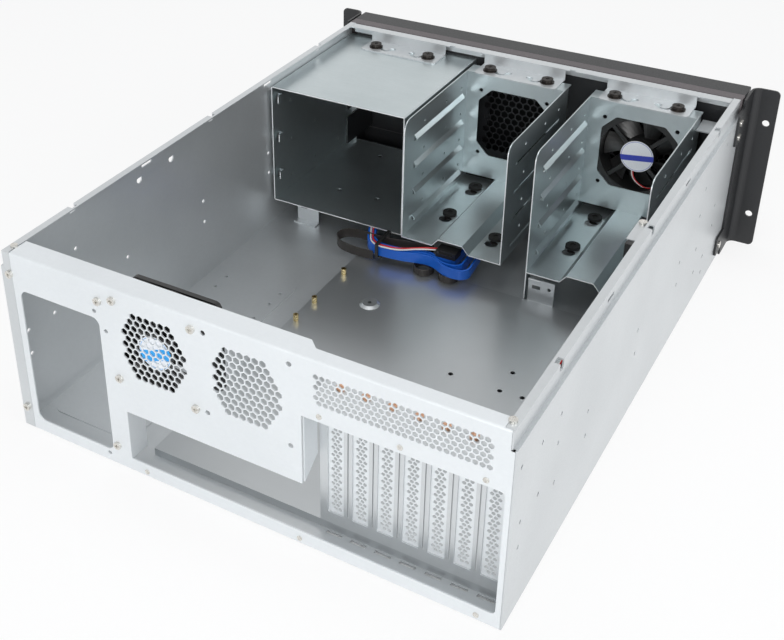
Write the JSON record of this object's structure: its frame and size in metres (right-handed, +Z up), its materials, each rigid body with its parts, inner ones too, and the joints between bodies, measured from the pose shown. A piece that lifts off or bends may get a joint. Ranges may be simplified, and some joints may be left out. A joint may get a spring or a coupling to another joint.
{
  "type": "rackmount server case",
  "caption": "Empty rackmount server case without its lid: folded steel tub, perforated rear panel, drive cages, bay cage, fans, board tray, black bezel and rack ears",
  "frame": {"origin": "middle of the footprint, on the underside of the floor", "axes": "X across the case, +Y toward the rear panel, +Z up; the black front faces -Y"},
  "size_m": [0.4826, 0.596, 0.1736],
  "materials": {
    "zinc_steel": "zinc-plated sheet, matte",
    "black_paint": "black powder coat",
    "black_steel": "black oxide",
    "blue_jacket": "flat cable",
    "brass": "plain",
    "black_plastic": "moulded",
    "rubber": "matte",
    "bright_steel": "plated",
    "dark_jacket": "wire",
    "board": "circuit board",
    "lamp": "clear lens",
    "red_jacket": "wire",
    "white_jacket": "wire",
    "copper_screw": "copper plated"
  },
  "bodies": {
    "case": {"bay_cage": "zinc_steel", "bay_cover_1": "black_paint", "bay_cover_2": "black_paint", "bay_cover_3": "black_paint", "bay_thumbscrews": "black_steel", "bezel_frame": "black_paint", "blue_cables": "blue_jacket", "board_standoffs": "brass", "cable_tie": "black_plastic", "centre_thumbscrews": "black_steel", "chassis_tub": "zinc_steel", "corner_bracket": "zinc_steel", "drive_cage_centre": "zinc_steel", "drive_cage_centre_grommets": "rubber", "drive_cage_side": "zinc_steel", "drive_cage_side_grommets": "rubber", "ear_screws": "bright_steel", "front_fan_frame": "black_plastic", "front_fan_lead": "dark_jacket", "front_fan_plug": "black_plastic", "front_fascia": "black_paint", "front_io_board": "board", "front_ports": "bright_steel", "front_top_beam": "zinc_steel", "front_wall": "black_paint", "indicator_lamps": "lamp", "intake_filter": "black_plastic", "intake_mesh": "black_paint", "lead_coils": "dark_jacket", "lid_switch": "black_plastic", "lid_switch_bracket": "zinc_steel", "lid_switch_screw": "bright_steel", "motherboard_tray": "zinc_steel", "panel_lead_red": "red_jacket", "panel_lead_white": "white_jacket", "panel_plug": "black_plastic", "rack_ear_left": "black_paint", "rack_ear_right": "black_paint", "rear_fan_frame": "black_plastic", "rear_panel": "zinc_steel", "rear_rivets": "bright_steel", "rear_screws": "bright_steel", "side_thumbscrews": "black_steel", "slot_cover_1": "zinc_steel", "slot_cover_2": "zinc_steel", "slot_cover_3": "zinc_steel", "slot_cover_4": "zinc_steel", "slot_cover_5": "zinc_steel", "slot_cover_6": "zinc_steel", "slot_cover_7": "zinc_steel", "slot_cover_screws": "copper_screw", "slot_frame": "zinc_steel", "switch_board": "board", "under_clip_centre": "zinc_steel", "under_clip_side": "zinc_steel"},
    "rear_fan_wheel": {"rear_fan_rotor": "black_plastic"},
    "front_fan_wheel": {"front_fan_rotor": "black_plastic"},
    "power_key": {"power_button": "black_plastic"},
    "reset_key": {"reset_button": "black_plastic"}
  },
  "joints": [
    {"name": "rear_fan_spin", "type": "hinge", "parent": "case", "child": "rear_fan_wheel", "pos_m": [0.0682, 0.2847, 0.126], "axis": [0, 1, 0], "continuous": true},
    {"name": "front_fan_spin", "type": "hinge", "parent": "case", "child": "front_fan_wheel", "pos_m": [-0.13035, -0.2341, 0.106], "axis": [0, 1, 0], "continuous": true},
    {"name": "power_press", "type": "slide", "parent": "case", "child": "power_key", "axis": [0, 1, 0], "range_m": [0, 0.0015], "stiffness_N_per_m": 300, "springref_m": -0.0005},
    {"name": "reset_press", "type": "slide", "parent": "case", "child": "reset_key", "axis": [0, 1, 0], "range_m": [0, 0.0015], "stiffness_N_per_m": 200, "springref_m": -0.0005}
  ]
}
